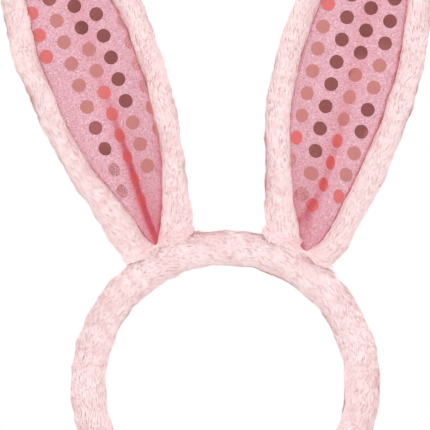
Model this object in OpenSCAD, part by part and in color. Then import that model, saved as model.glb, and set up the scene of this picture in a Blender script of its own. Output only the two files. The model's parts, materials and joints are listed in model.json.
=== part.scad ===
// Animal ears headband: a sprung band in a plush sleeve with two wired plush bunny ears.
// Units are millimetres and degrees. +Z is up, the front faces -Y, and left and right
// are as seen from the front. The origin is the underside of the band's crown, where it
// rests on a head. Lengths along an ear are measured from the axis that it tilts about.

/* [Band] */
// Radius of the band's centreline over the head
band_r = 72; // [70:0.5:78]
// Angle from the crown at which each arm of the band ends
band_end = 132; // [115:1:140]
// Outer radius of the plush sleeve
sleeve_r = 9.2; // [9:0.1:9.5]
// Thickness of the plush with its pile
plush_t = 1.9; // [1.7:0.1:2]
// Width of the sprung plastic strip, front to back
core_w = 9; // [8:0.5:9]
// Thickness of the sprung plastic strip
core_t = 2; // [1.5:0.1:2]

/* [Ears] */
// Angle from the crown to the left ear's root
left_root = 25.7; // [24:0.1:28]
// Lean of the left ear from upright
left_lean = 20.4; // [14:0.1:24]
// Angle from the crown to the right ear's root
right_root = 27.8; // [24:0.1:29]
// Lean of the right ear from upright
right_lean = 15.4; // [14:0.1:24]
// Length of an ear from its tilt axis to its tip
ear_len = 205; // [190:1:220]
// Half of an ear's greatest width
ear_half_w = 38; // [35:0.5:40]
// Distance from the tilt axis to where the tip folds, which is the widest place
fold_z = 105; // [100:1:112]
// Radius of the padded rim, away from the root
rim_r = 6.5; // [6:0.1:6.8]
// How much fatter the rim is at the root
rim_root_extra = 2.5; // [2:0.1:2.8]
// How deep the lining is cupped between the rims
cup_depth = 6.5; // [5:0.5:7]

/* [Lining and dots] */
// Thickness of the lining cloth
lining_t = 0.8; // [0.6:0.1:1]
// Diameter of a foil dot
dot_d = 7.3; // [6:0.1:8]
// Pitch of the dots along a column
dot_pitch = 12; // [11:0.1:14]
// Spacing of the columns of dots
dot_column = 11.3; // [11:0.1:13]
// How much lower each column is than the one on its inner side
dot_drop = 4; // [0:0.1:6]
// How far outwards from the middle the left ear's crease and its column of dots lie
left_crease = -1.2; // [-6:0.1:6]
// How far outwards from the middle the right ear's crease and its column of dots lie
right_crease = 4.4; // [-6:0.1:6]
// Height of the lowest place for a dot on the left ear's crease
left_dots_from = 11.5; // [0:0.1:12]
// Height of the lowest place for a dot on the right ear's crease
right_dots_from = 10; // [0:0.1:12]

/* [Wire] */
// Diameter of the coated wire in the rims
wire_d = 1.6; // [1.2:0.1:1.8]

/* [Motion] */
// Angle from the crown at which each arm flexes outwards
flex_angle = 50; // [50:0.5:54]
// How far an ear tilts forwards or back
tilt_max = 30; // [20:1:32]

/* [Hidden] */
$fn = 64;

// An ear is [angle from the crown to its root, lean from upright, both positive to the right;
// how far its crease lies outwards, and the height from which its dots are counted]
LEFT = [-left_root, -left_lean, left_crease, left_dots_from];
RIGHT = [right_root, right_lean, right_crease, right_dots_from];

PLUSH = [0.98, 0.87, 0.88];
CLOTH = [0.91, 0.69, 0.75];
FOIL = [0.72, 0.35, 0.35];
FIBRE = [0.97, 0.96, 0.94];
PLASTIC = [0.93, 0.92, 0.9];
THREAD = [0.95, 0.76, 0.79];
WIRE = [0.9, 0.9, 0.9];

// Band
centre_z = sleeve_r - band_r;               // height of the hoop's centre
sleeve_in = sleeve_r - plush_t;             // inner radius of the sleeve
wadding_r = sleeve_in - 0.2;                // outer radius of the wadding
core_clear = 0.2;                           // play round the core in its channel
flex_gap = 0.65;                            // angle cut back on each side of a flexing place
seam_w = 1.4;                               // width of the sleeve's open seam
seam_thread_r = 0.45;
core_end_gap = 0.8;                         // angle by which the core stops short of the sleeve

// Ear root
axis_drop = 0.8;                            // the tilt axis is this far inside the centreline
saddle_in = sleeve_r + axis_drop + 0.3;     // inner radius of the base, clear of the sleeve
saddle_t = 3;
saddle_out = saddle_in + saddle_t;
saddle_half_w = 19.5;
saddle_half_angle = 60;
foot_v = saddle_in + saddle_t / 2;          // height at which the rims stand in the base
stitch_r = 0.35;
stitch_len = 3.2;
stitch_count = 9;                           // along each of the base's two lower edges

// Wire eyes round the core
eye_r = core_w / 2 + 1.3;                   // centreline radius of an eye
wire_clear = 0.3;
bend_r = wire_d / 2 + 0.2;                  // the wire is this fat where it turns up
bend_overlap = 0.2;
slot_half = tilt_max + 9;                   // half angle of the sleeve's slots

// Ear outline
root_half = ear_half_w / 2 - 7.2;           // rim centreline's half spread at the root
wide_half = ear_half_w - rim_r;             // and at the fold
tip_rise = ear_len - rim_r - fold_z;        // from the fold to the top of the rim centreline
root_fade = 22;                             // height over which the rim thins
root_blend = 25;                            // height over which its rings turn square

// Fold
fold_gap = 2.6;                             // cut back on each side of the fold

// Layers
layer_clear = 0.3;
wadding_in = wire_d / 2 + 0.4;
back_t = 3;
back_gap = 2.2;                             // air between lining and back
LOWER = [15, fold_z - fold_gap];            // heights between which the ear's sheets reach
UPPER = [fold_z + fold_gap, ear_len - 14];  // and the tip's

// Dots
dot_t = 0.2;
dot_clear = dot_d / 2 + 0.4;                // from a dot's middle to the cloth's edge
DOT_COLUMNS = [-3 : 3];                     // counted outwards from the crease

// Mesh density
RIM_SIDES = 10;
WIRE_SIDES = 6;
LEG_STEPS = 8;
TIP_STEPS = 20;
SHEET_ROWS = 9;
SHEET_COLUMNS = 8;

// ---- Band ----

// An arc of the band, from angle a to angle b past the crown
module band_arc(a, b) {
    translate([0, 0, centre_z]) rotate([90, 0, 0])
        rotate_extrude(start = 90 - b, angle = b - a) translate([band_r, 0]) children();
}

// The whole band, tip to tip, as far as the core reaches
module whole_band() {
    band_arc(core_end_gap - band_end, band_end - core_end_gap) children();
}

module core_profile(play) {
    square([core_t + 2 * play, core_w + 2 * play], center = true);
}

// Plush sleeve in section: a ring that is open along the seam, on the side of the head
module sleeve_profile() {
    difference() {
        circle(sleeve_r);
        circle(sleeve_in);
        translate([-sleeve_r, 0]) square([2 * plush_t + 2, seam_w], center = true);
    }
}

module band_core() {
    color(PLASTIC) whole_band() core_profile(0);
}

module band_wadding() {
    color(FIBRE) difference() {
        whole_band() difference() {
            circle(wadding_r);
            core_profile(core_clear);
        }
        for (ear = [LEFT, RIGHT], side = [-1, 1])
            tilt_frame(ear) eye_groove(side, ear);
    }
}

module sleeve_crown() {
    color(PLUSH) difference() {
        band_arc(flex_gap - flex_angle, flex_angle - flex_gap) sleeve_profile();
        for (ear = [LEFT, RIGHT], side = [-1, 1])
            tilt_frame(ear) wire_slot(side, ear);
    }
}

module sleeve_arm() {
    color(PLUSH) band_arc(flex_angle + flex_gap, band_end) sleeve_profile();
}

// Gathered end that closes an arm's sleeve, a hollow dome
module sleeve_end() {
    color(PLUSH) translate([band_r * sin(band_end), 0, centre_z + band_r * cos(band_end)])
        rotate([0, band_end + 90, 0]) rotate_extrude()
        intersection() {
            difference() {
                circle(sleeve_r);
                circle(sleeve_in);
            }
            square(sleeve_r + 1);
        }
}

module sleeve_seam() {
    color(THREAD) whole_band() translate([-(sleeve_in + sleeve_r) / 2, 0])
        circle(seam_thread_r, $fn = 24);
}

// ---- Ear root ----

// Frame of the tilt axis: X along the axis, Z away from the head
module tilt_frame(ear) {
    reach = band_r - axis_drop;
    translate([reach * sin(ear[0]), 0, centre_z + reach * cos(ear[0])])
        rotate([0, ear[0], 0]) children();
}

// Frame of an ear: Z up its middle, leaning about the point where it stands on the band
module ear_frame(ear) {
    tilt_frame(ear) translate([0, 0, foot_v]) rotate([0, ear[1] - ear[0], 0])
        translate([0, 0, -foot_v]) children();
}

// A ring sector about the tilt axis, from the upright to half_angle on each side
module sector(half_angle) {
    rotate([0, 90, 0]) rotate_extrude(start = 180 - half_angle, angle = 2 * half_angle)
        children();
}

// Where a rim's foot lies along the tilt axis; side is -1 or 1
function foot_z(side, ear) = foot_v + side * root_half * tan(ear[1] - ear[0]);
function foot_u(side, ear) = side * half_spread(foot_z(side, ear)) * cos(ear[1] - ear[0])
    + (foot_z(side, ear) - foot_v) * sin(ear[1] - ear[0]);

module eye_groove(side, ear) {
    translate([foot_u(side, ear), 0, 0]) rotate([0, 90, 0]) difference() {
        cylinder(r = sleeve_in + 2, h = wire_d + 2 * wire_clear, center = true);
        cylinder(r = eye_r - wire_d / 2 - wire_clear, h = wire_d * 2, center = true);
    }
}

module wire_slot(side, ear) {
    translate([foot_u(side, ear), 0, 0]) sector(slot_half)
        translate([eye_r, -wire_d / 2 - wire_clear])
            square([saddle_in - eye_r + 1, wire_d + 2 * wire_clear]);
}

// Gathered plush base that sits astride the sleeve, round about the tilt axis
module ear_base(ear) {
    color(PLUSH) tilt_frame(ear) sector(saddle_half_angle)
        translate([saddle_in, -saddle_half_w]) square([saddle_t, 2 * saddle_half_w]);
}

// Thread that gathers the base's two lower edges
module ear_stitches(ear) {
    spacing = 2 * (saddle_half_w - 2) / (stitch_count - 1);
    color(THREAD) tilt_frame(ear)
        for (side = [-1, 1], i = [0 : stitch_count - 1])
            translate([i * spacing - saddle_half_w + 2, 0, 0])
                rotate([side * (saddle_half_angle - 10), 0, 0])
                    translate([0, 0, saddle_out + stitch_r + 0.05]) rotate([90, 0, 0])
                        cylinder(r = stitch_r, h = stitch_len, center = true, $fn = 16);
}

// ---- Ear outline ----

// Half spread of the rims' centrelines, and its slope, at height z
function half_spread(z) = z < fold_z
    ? root_half + (wide_half - root_half) * sin(90 * (z - foot_v) / (fold_z - foot_v))
    : wide_half * sqrt(max(0, 1 - pow((z - fold_z) / tip_rise, 2)));
function spread_slope(z) = (half_spread(z + 0.1) - half_spread(z - 0.1)) / 0.2;

// Radius of the rim at height z
function rim_radius(z) = rim_r + rim_root_extra * exp(-(z - foot_v) / root_fade);

// Half width of the lining, and how far it is dished behind the rims' centrelines
function lining_half(z) = half_spread(z) - layer_clear
    - rim_radius(z) * sqrt(1 + pow(spread_slope(z), 2));
function cup(z) = cup_depth * (1 - exp(-(z - 10) / 8)) * exp(-(z - 35) / 120);
function lining_y(x, z) = cup(z) * (1 - pow(x / lining_half(z), 2));

// One station of a rim: [centre, angle of its ring's cross axis from X, height]
function leg_station(side, ear, z_low, i) =
    let (z = z_low + (fold_z - fold_gap - z_low) * i / LEG_STEPS,
         square_on = -side * atan(spread_slope(z)),
         along_band = ear[1] - ear[0],
         blend = max(0, 1 - (z - z_low) / root_blend))
    [[side * half_spread(z), 0, z], blend * along_band + (1 - blend) * square_on, z];
function leg_stations(side, ear, z_low) =
    [for (i = [0 : LEG_STEPS]) leg_station(side, ear, z_low, i)];

// Stations round the tip, from just above the fold on the left to the same on the right
function tip_stations() =
    let (first = asin(fold_gap / tip_rise))
    [for (i = [0 : TIP_STEPS])
        let (t = 180 - first - (180 - 2 * first) * i / TIP_STEPS,
             x = wide_half * cos(t),
             z = fold_z + tip_rise * sin(t))
        [[x, 0, z], atan2(wide_half * sin(t), tip_rise * cos(t)), z]];

function ring(station, radius, sides) = [for (k = [0 : sides - 1])
    station[0] + radius * (cos(360 * k / sides) * [cos(station[1]), 0, sin(station[1])]
        + sin(360 * k / sides) * [0, 1, 0])];

// Quads between ring a and ring b of a tube, as two triangles each
function skin(a, b, sides, inwards) = [for (k = [0 : sides - 1], half = [0, 1])
    let (m = (k + 1) % sides,
         face = half == 0 ? [a + k, b + k, b + m] : [a + k, b + m, a + m])
    inwards ? [face[2], face[1], face[0]] : face];

// A tube through the stations, with a bore where the list of inner radii isn't empty
module tube(stations, outer, inner, sides) {
    last = len(stations) - 1;
    count = (last + 1) * sides;
    bored = len(inner) > 0;
    outer_points = [for (i = [0 : last]) each ring(stations[i], outer[i], sides)];
    inner_points = bored ? [for (i = [0 : last]) each ring(stations[i], inner[i], sides)] : [];
    walls = [for (i = [0 : last - 1]) each skin(i * sides, (i + 1) * sides, sides, false)];
    bore = bored
        ? [for (i = [0 : last - 1])
            each skin(count + i * sides, count + (i + 1) * sides, sides, true)]
        : [];
    ends = bored
        ? concat(skin(count, 0, sides, false),
            skin(last * sides, count + last * sides, sides, false))
        : [[for (k = [0 : sides - 1]) k], [for (k = [0 : sides - 1]) count - 1 - k]];
    polyhedron(concat(outer_points, inner_points), concat(walls, bore, ends), convexity = 8);
}

function rim_radii(stations, less) = [for (s = stations) rim_radius(s[2]) - less];
function same(stations, radius) = [for (s = stations) radius];

// ---- Rims, wadding and wire ----

module rim(stations) {
    tube(stations, rim_radii(stations, 0), rim_radii(stations, plush_t), RIM_SIDES);
}

module wadding(stations) {
    tube(stations, rim_radii(stations, plush_t + 0.6), same(stations, wadding_in), RIM_SIDES);
}

module wire(stations) {
    tube(stations, same(stations, wire_d / 2), [], WIRE_SIDES);
}

module ear_rim(ear) {
    color(PLUSH) ear_frame(ear)
        for (side = [-1, 1]) rim(leg_stations(side, ear, foot_z(side, ear)));
}

module ear_wadding(ear) {
    color(FIBRE) ear_frame(ear)
        for (side = [-1, 1]) wadding(leg_stations(side, ear, foot_z(side, ear) + saddle_t));
}

// Stations where a leg of the wire turns up out of the band, thickened by the bend
function wire_foot(side, ear) =
    let (z = foot_z(side, ear), lean = ear[1] - ear[0])
    [for (rise = [-bend_overlap, 3 * bend_overlap])
        [[side * half_spread(z), 0, z] + rise * [-sin(lean), 0, cos(lean)], lean, z]];

// Each leg of the wire ends in an eye round the core, on which the ear tilts
module ear_wire(ear) {
    color(WIRE) {
        ear_frame(ear) for (side = [-1, 1]) {
            stations = concat(wire_foot(side, ear),
                [for (i = [1 : LEG_STEPS]) leg_station(side, ear, foot_z(side, ear), i)]);
            radii = [for (i = [0 : len(stations) - 1]) i < 2 ? bend_r : wire_d / 2];
            tube(stations, radii, [], WIRE_SIDES);
        }
        tilt_frame(ear) for (side = [-1, 1]) translate([foot_u(side, ear), 0, 0]) {
            rotate([0, 90, 0]) rotate_extrude() translate([eye_r, 0])
                circle(wire_d / 2, $fn = 24);
            translate([0, 0, eye_r])
                cylinder(r = wire_d / 2, h = foot_v + bend_overlap - eye_r, $fn = 24);
        }
    }
}

module tip_rim(ear) {
    color(PLUSH) ear_frame(ear) rim(tip_stations());
}

module tip_wadding(ear) {
    color(FIBRE) ear_frame(ear) wadding(tip_stations());
}

module tip_wire(ear) {
    color(WIRE) ear_frame(ear) wire(tip_stations());
}

// ---- Lining, back and dots ----

// A dished sheet between two heights, set back by dy from the lining's middle
module sheet(heights, thick, dy) {
    columns = SHEET_COLUMNS + 1;
    count = (SHEET_ROWS + 1) * columns;
    function at(i, j) = i * columns + j;
    points = [for (face = [-1, 1], i = [0 : SHEET_ROWS], j = [0 : SHEET_COLUMNS])
        let (z = heights[0] + (heights[1] - heights[0]) * i / SHEET_ROWS,
             x = lining_half(z) * (2 * j / SHEET_COLUMNS - 1))
        [x, lining_y(x, z) + dy + face * thick / 2, z]];
    front = [for (i = [0 : SHEET_ROWS - 1], j = [0 : SHEET_COLUMNS - 1])
        each [[at(i, j), at(i + 1, j), at(i + 1, j + 1)],
              [at(i, j), at(i + 1, j + 1), at(i, j + 1)]]];
    behind = [for (face = front) [face[2] + count, face[1] + count, face[0] + count]];
    loop = concat(
        [for (j = [0 : SHEET_COLUMNS - 1]) at(0, j)],
        [for (i = [0 : SHEET_ROWS - 1]) at(i, SHEET_COLUMNS)],
        [for (j = [SHEET_COLUMNS : -1 : 1]) at(SHEET_ROWS, j)],
        [for (i = [SHEET_ROWS : -1 : 1]) at(i, 0)]);
    edge = [for (k = [0 : len(loop) - 1])
        let (a = loop[k], b = loop[(k + 1) % len(loop)])
        each [[a, b, b + count], [a, b + count, a + count]]];
    polyhedron(points, concat(front, behind, edge), convexity = 6);
}

module lining(ear, heights) {
    color(CLOTH) ear_frame(ear) sheet(heights, lining_t, 0);
}

module back(ear, heights) {
    color(PLUSH) ear_frame(ear) sheet(heights, back_t, back_gap + (lining_t + back_t) / 2);
}

// Foil dots in slanting rows on the lining's front, those that fit whole
module dots(ear, heights) {
    color(FOIL) ear_frame(ear) for (c = DOT_COLUMNS, n = [0 : ceil(ear_len / dot_pitch)]) {
        x = sign(ear[0]) * (ear[2] + c * dot_column);
        z = ear[3] + n * dot_pitch - c * dot_drop;
        fits = z - dot_clear > heights[0] && z + dot_clear < heights[1]
            && abs(x) + dot_clear < lining_half(z);
        if (fits) {
            across = atan((lining_y(x + 0.1, z) - lining_y(x - 0.1, z)) / 0.2);
            along = atan((lining_y(x, z + 0.1) - lining_y(x, z - 0.1)) / 0.2);
            translate([x, lining_y(x, z) - lining_t / 2, z]) rotate([0, 0, across])
                rotate([90 + along, 0, 0]) cylinder(d = dot_d, h = dot_t, $fn = 32);
        }
    }
}

// ---- Nodes ----

band_core();
band_wadding();
sleeve_crown();
mirror([1, 0, 0]) sleeve_arm();  // left_sleeve
sleeve_arm();  // right_sleeve
mirror([1, 0, 0]) sleeve_end();  // left_sleeve_end
sleeve_end();  // right_sleeve_end
sleeve_seam();
ear_base(LEFT);  // left_ear_base
ear_stitches(LEFT);  // left_ear_stitches
ear_wire(LEFT);  // left_ear_wire
ear_wadding(LEFT);  // left_ear_wadding
ear_rim(LEFT);  // left_ear_rim
back(LEFT, LOWER);  // left_ear_back
lining(LEFT, LOWER);  // left_ear_lining
dots(LEFT, LOWER);  // left_ear_dots
tip_wire(LEFT);  // left_tip_wire
tip_wadding(LEFT);  // left_tip_wadding
tip_rim(LEFT);  // left_tip_rim
back(LEFT, UPPER);  // left_tip_back
lining(LEFT, UPPER);  // left_tip_lining
dots(LEFT, UPPER);  // left_tip_dots
ear_base(RIGHT);  // right_ear_base
ear_stitches(RIGHT);  // right_ear_stitches
ear_wire(RIGHT);  // right_ear_wire
ear_wadding(RIGHT);  // right_ear_wadding
ear_rim(RIGHT);  // right_ear_rim
back(RIGHT, LOWER);  // right_ear_back
lining(RIGHT, LOWER);  // right_ear_lining
dots(RIGHT, LOWER);  // right_ear_dots
tip_wire(RIGHT);  // right_tip_wire
tip_wadding(RIGHT);  // right_tip_wadding
tip_rim(RIGHT);  // right_tip_rim
back(RIGHT, UPPER);  // right_tip_back
lining(RIGHT, UPPER);  // right_tip_lining
dots(RIGHT, UPPER);  // right_tip_dots
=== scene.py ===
"""Looks of the animal ears headband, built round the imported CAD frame.

Lengths are millimetres in this script and metres in Blender. An ear is built in its own frame:
x across it, y backwards and z up its middle from its foot. "Out" is away from the other ear.
"""

import json
import math

import bpy
import numpy as np
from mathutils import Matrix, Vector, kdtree


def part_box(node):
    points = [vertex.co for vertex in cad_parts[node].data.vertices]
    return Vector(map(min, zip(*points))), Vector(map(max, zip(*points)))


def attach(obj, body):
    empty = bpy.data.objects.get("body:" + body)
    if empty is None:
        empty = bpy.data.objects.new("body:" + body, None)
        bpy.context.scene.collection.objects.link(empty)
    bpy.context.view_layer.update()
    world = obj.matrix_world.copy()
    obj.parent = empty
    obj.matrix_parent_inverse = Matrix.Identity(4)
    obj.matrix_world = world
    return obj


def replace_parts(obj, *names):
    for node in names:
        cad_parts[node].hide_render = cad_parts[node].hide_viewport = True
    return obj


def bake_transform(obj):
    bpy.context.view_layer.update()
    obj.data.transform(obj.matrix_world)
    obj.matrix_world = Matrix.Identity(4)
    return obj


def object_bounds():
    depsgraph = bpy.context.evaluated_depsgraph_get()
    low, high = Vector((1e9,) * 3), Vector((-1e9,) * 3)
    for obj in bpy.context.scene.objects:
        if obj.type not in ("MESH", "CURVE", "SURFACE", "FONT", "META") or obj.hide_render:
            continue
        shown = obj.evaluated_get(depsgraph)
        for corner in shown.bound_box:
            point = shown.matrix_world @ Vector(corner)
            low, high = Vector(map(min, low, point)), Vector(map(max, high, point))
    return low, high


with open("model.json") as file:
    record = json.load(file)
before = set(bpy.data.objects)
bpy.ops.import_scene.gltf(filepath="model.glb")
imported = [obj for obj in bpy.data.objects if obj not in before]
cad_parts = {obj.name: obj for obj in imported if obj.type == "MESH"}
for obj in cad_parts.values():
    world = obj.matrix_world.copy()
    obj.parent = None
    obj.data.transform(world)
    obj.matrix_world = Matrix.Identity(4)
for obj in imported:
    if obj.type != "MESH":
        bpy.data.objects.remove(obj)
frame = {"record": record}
cad_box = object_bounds()

MM = 0.001
BACK = np.array([0.0, 1.0, 0.0])
JOINTS = {joint["name"]: joint for joint in frame["record"]["behaviour"]["joints"]}
MOUNTS = {mount["name"]: mount for mount in frame["record"]["mounts"]}

# Band
HOOP_Z = MOUNTS["head_opening"]["pos_m"][2] / MM
FLEX = np.array(JOINTS["right_arm_spread"]["pos_m"]) / MM
BAND_R = math.hypot(FLEX[0], FLEX[2] - HOOP_Z)
SLEEVE_R = (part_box("right_sleeve")[1][1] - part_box("right_sleeve")[0][1]) / MM / 2
BAND_END = 132           # degrees from the crown
CORE_END = BAND_END - 0.8
SIGNS = {"left": -1, "right": 1}
SLEEVE_SEEDS = {"left": 101, "right": 202}
SEAM_DEPTH = 1.1
SEAM_WIDTH = 0.8

# Ears
FOLD_Y = -4
FOLD_Z = 105
FOLD_HALF = 22           # and an ear's fold over this length
ROOT_Z = 11.8            # the rims start here, this far from the ear's middle:
ROOT_HALF = 11.8
WIDE_HALF = 31.5         # and are furthest apart at the fold
TIP_RISE = 93.5          # from the fold to the tip
RIM_R = 6.5
RIM_ROOT_EXTRA = 2.5     # they are this much thicker at the root
ROOT_FADE = 22
RIM_BAND_EXTRA = 0.4     # but from front to back only by this much
SADDLE_IN = 9.6
SADDLE_HALF_W = 20
HEM_FRONT = 40           # angle round the band at which the base ends in front
HEM_BACK = 60            # and behind
BARE_PAST = 4.2          # under the base no pile grows on the band further than this past the hem
WIRE_R = 0.8
EYE_R = 5.8              # the wire's eyes round the band's core

# Plush
PILE = 0.8               # the pile stands this far out of its backing cloth
STRAND_LENGTH = 5.5
STRAND_WIDTH = 0.36
STRANDS_PER_MM2 = 4.4
TUFT = 30                # strands drawn together into one tuft
ROUND = 7                # usual radius of the round plush that the strands lie along
PIECE_STRANDS = 32000    # strands in one piece at most
NAP = 0.28               # height of the plush's soft lumps

# Lining and dots
LINING_FOOT = 9.8
LINING_TOP = 193
TUCK = 1.3               # the lining is sewn this far into the rims
BACK_GAP = 1.3           # and is this far in front of the plush back
CREASE_SHARE = 0.3       # the crease keeps within this share of the lining's half width
DOT_R = 3.65
DOT_THICK = 0.14
DOT_PITCH = 12.0
DOT_COLUMN = 11.3
DOT_DROP = 4.0           # each column further out is this much lower
DOTS_FROM = 30


# ---- Numbers ----

def smoothstep(low, high, value):
    t = np.clip((np.asarray(value, float) - low) / (high - low), 0, 1)
    return t * t * (3 - 2 * t)


def ramp(value, soft):
    """The greater of value and 0, rounded off over about soft."""
    return (value + np.sqrt(value * value + soft * soft)) / 2


def unit(vectors):
    length = np.linalg.norm(vectors, axis=-1, keepdims=True)
    return vectors / np.maximum(length, 1e-9)


def full_turn(sides):
    return np.linspace(0, 2 * math.pi, sides, endpoint=False)


def ripple(points, wavelength, seed, waves=9):
    """Smooth noise with a spread of about 1: plane waves in random directions."""
    rng = np.random.default_rng(seed)
    ways = unit(rng.normal(size=(waves, 3))) * 2 * math.pi
    ways /= wavelength * rng.uniform(0.7, 1.5, (waves, 1))
    phases = rng.uniform(0, 2 * math.pi, waves)
    return np.sin(points @ ways.T + phases).sum(axis=1) / math.sqrt(waves / 2)


# ---- Meshes ----

def grid_quads(rows, columns, around=False):
    """Quads between the points of a grid, whose last column joins the first if around is true."""
    row, column = np.meshgrid(np.arange(rows - 1), np.arange(columns - (not around)), indexing="ij")
    row, column = row.ravel(), column.ravel()
    beside = (column + 1) % columns
    return np.stack([row * columns + column, row * columns + beside,
                     (row + 1) * columns + beside, (row + 1) * columns + column], axis=1)


def capped(rows, sides):
    """The faces of a tube of rows rings, with a cap on each end."""
    faces = [list(q) for q in grid_quads(rows, sides, True)]
    return faces + [list(range(sides))[::-1], list(range((rows - 1) * sides, rows * sides))]


def tube(centres, frames, radii, sides, bore=None):
    """A closed tube through centres. frames is two unit vectors across it, everywhere or at each
    centre, radii likewise or all round each centre, and bore the radius of a hole along it."""
    turn = full_turn(sides)
    across, beside = (np.broadcast_to(way, centres.shape)[:, None, :] for way in frames)
    spokes = np.cos(turn)[None, :, None] * across + np.sin(turn)[None, :, None] * beside
    rows = len(centres)
    radii = np.reshape(radii, (-1, 1, 1)) if np.ndim(radii) < 2 else radii[:, :, None]
    outer = centres[:, None, :] + radii * spokes
    if bore is None:
        return outer.reshape(-1, 3), capped(rows, sides)
    inner = centres[:, None, :] + bore * spokes
    count = rows * sides
    skin = grid_quads(rows, sides, True)
    faces = [list(q) for q in skin] + [list(q[::-1] + count) for q in skin]
    last = (rows - 1) * sides
    for k in range(sides):
        m = (k + 1) % sides
        faces.append([m, k, k + count, m + count])
        faces.append([last + k, last + m, last + m + count, last + k + count])
    return np.concatenate([outer.reshape(-1, 3), inner.reshape(-1, 3)]), faces


def slab(front, behind):
    """A closed sheet between two grids of points."""
    rows, columns = front.shape[:2]
    count = rows * columns
    quads = grid_quads(rows, columns)
    grid = np.arange(count).reshape(rows, columns)
    loop = [*grid[0], *grid[1:, -1], *grid[-1, -2::-1], *grid[-2:0:-1, 0]]
    faces = [list(q) for q in quads] + [list(q[::-1] + count) for q in quads]
    for a, b in zip(loop, loop[1:] + loop[:1]):
        faces.append([b, a, a + count, b + count])
    return np.concatenate([front.reshape(-1, 3), behind.reshape(-1, 3)]), faces


def join(*parts):
    """Several (points, faces) pairs as one."""
    points, faces, start = [], [], 0
    for part_points, part_faces in parts:
        points.append(part_points)
        faces += [[start + v for v in face] for face in part_faces]
        start += len(part_points)
    return np.concatenate(points), faces


def add_piece(name, points, faces, material):
    """A new object from points in the shared frame."""
    mesh = bpy.data.meshes.new(name)
    mesh.from_pydata((points * MM).tolist(), [], [list(map(int, face)) for face in faces])
    mesh.validate()
    mesh.polygons.foreach_set("use_smooth", [True] * len(mesh.polygons))
    mesh.materials.append(material)
    return add_object(name, mesh)


def add_object(name, data):
    made = bpy.data.objects.new(name, data)
    bpy.context.scene.collection.objects.link(made)
    return made


def add_closed(name, points, faces, material):
    """A new closed piece, its faces turned outwards."""
    piece = add_piece(name, points, faces, material)
    bpy.context.view_layer.objects.active = piece
    piece.select_set(True)
    bpy.ops.object.mode_set(mode="EDIT")
    bpy.ops.mesh.select_all(action="SELECT")
    bpy.ops.mesh.normals_make_consistent(inside=False)
    bpy.ops.object.mode_set(mode="OBJECT")
    piece.select_set(False)
    return piece


def bake_modifiers(piece):
    """Replaces the piece's mesh with the one its modifiers make."""
    graph = bpy.context.evaluated_depsgraph_get()
    made = bpy.data.meshes.new_from_object(piece.evaluated_get(graph))
    old = piece.data
    piece.modifiers.clear()
    piece.data = made
    bpy.data.meshes.remove(old)


def weld(piece, voxel, passes):
    """Turns the piece's closed shells into one smooth skin."""
    remesh = piece.modifiers.new("skin", "REMESH")
    remesh.mode = "VOXEL"
    remesh.voxel_size = voxel * MM
    remesh.use_smooth_shade = True
    relax = piece.modifiers.new("relax", "SMOOTH")
    relax.factor = 0.5
    relax.iterations = passes
    bake_modifiers(piece)


def vectors_of(items, name):
    values = np.empty(len(items) * 3, np.float32)
    items.foreach_get(name, values)
    return values.reshape(-1, 3).astype(float)


def vertices_of(piece):
    return vectors_of(piece.data.vertices, "co") / MM


def normals_of(piece):
    return vectors_of(piece.data.vertex_normals, "vector")


def move_vertices(piece, points):
    piece.data.vertices.foreach_set("co", (points * MM).astype(np.float32).ravel())
    piece.data.update()


def raise_nap(piece, seed):
    """Gives plush its soft lumps, long ones and short ones."""
    points, normals = vertices_of(piece), normals_of(piece)
    height = 0.7 * ripple(points, 15, seed) + 0.3 * ripple(points, 6, seed + 1)
    move_vertices(piece, points + normals * (NAP * height)[:, None])


# ---- Materials ----

def feed(tree, made, **inputs):
    """Sets each input of a node to a value, or links it to another node's output."""
    for name, value in inputs.items():
        socket = made.inputs[name.replace("_", " ")]
        if isinstance(value, bpy.types.NodeSocket):
            tree.links.new(value, socket)
        else:
            socket.default_value = value


def new_material(name, **inputs):
    material = bpy.data.materials.new(name)
    material.use_nodes = True
    shader = material.node_tree.nodes["Principled BSDF"]
    feed(material.node_tree, shader, **inputs)
    return material, material.node_tree, shader


def node(tree, kind, properties=(), **inputs):
    made = tree.nodes.new(kind)
    for name, value in dict(properties).items():
        setattr(made, name, value)
    feed(tree, made, **inputs)
    return made


def noise_of(tree, scale, detail=3, stretch=(1, 1, 1)):
    """Noise over the piece at scale cells a metre, stretched along an axis."""
    place = node(tree, "ShaderNodeTexCoord").outputs["Object"]
    squeeze = node(tree, "ShaderNodeMapping", Vector=place, Scale=stretch)
    noise = node(tree, "ShaderNodeTexNoise", Vector=squeeze.outputs["Vector"],
                 Scale=scale, Detail=detail)
    return noise.outputs["Fac"]


def tint_by(tree, source, stops):
    """A colour ramp from a list of (place, colour) pairs."""
    colours = node(tree, "ShaderNodeValToRGB", Fac=source)
    elements = colours.color_ramp.elements
    while len(elements) < len(stops):
        elements.new(0.5)
    for element, (place, colour) in zip(elements, stops):
        element.position = place
        element.color = (*colour, 1)
    return colours.outputs["Color"]


def mix(tree, share, first, second):
    """Colour first, turning into colour second as share goes from 0 to 1."""
    mixed = node(tree, "ShaderNodeMix", {"data_type": "RGBA"}, Factor=share, A=first, B=(*second, 1))
    return mixed.outputs["Result"]


def bump_by(tree, shader, source, distance, strength):
    bump = node(tree, "ShaderNodeBump", Height=source, Strength=strength, Distance=distance * MM)
    feed(tree, shader, Normal=bump.outputs["Normal"])


def strand_material(name, colour):
    material, tree, shader = new_material(name, Base_Color=(*colour, 1), Specular_IOR_Level=0.1)
    rough = node(tree, "ShaderNodeMapRange", Value=noise_of(tree, 2500, 2), To_Min=0.8, To_Max=1.0)
    feed(tree, shader, Roughness=rough.outputs["Result"])
    return material


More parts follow.
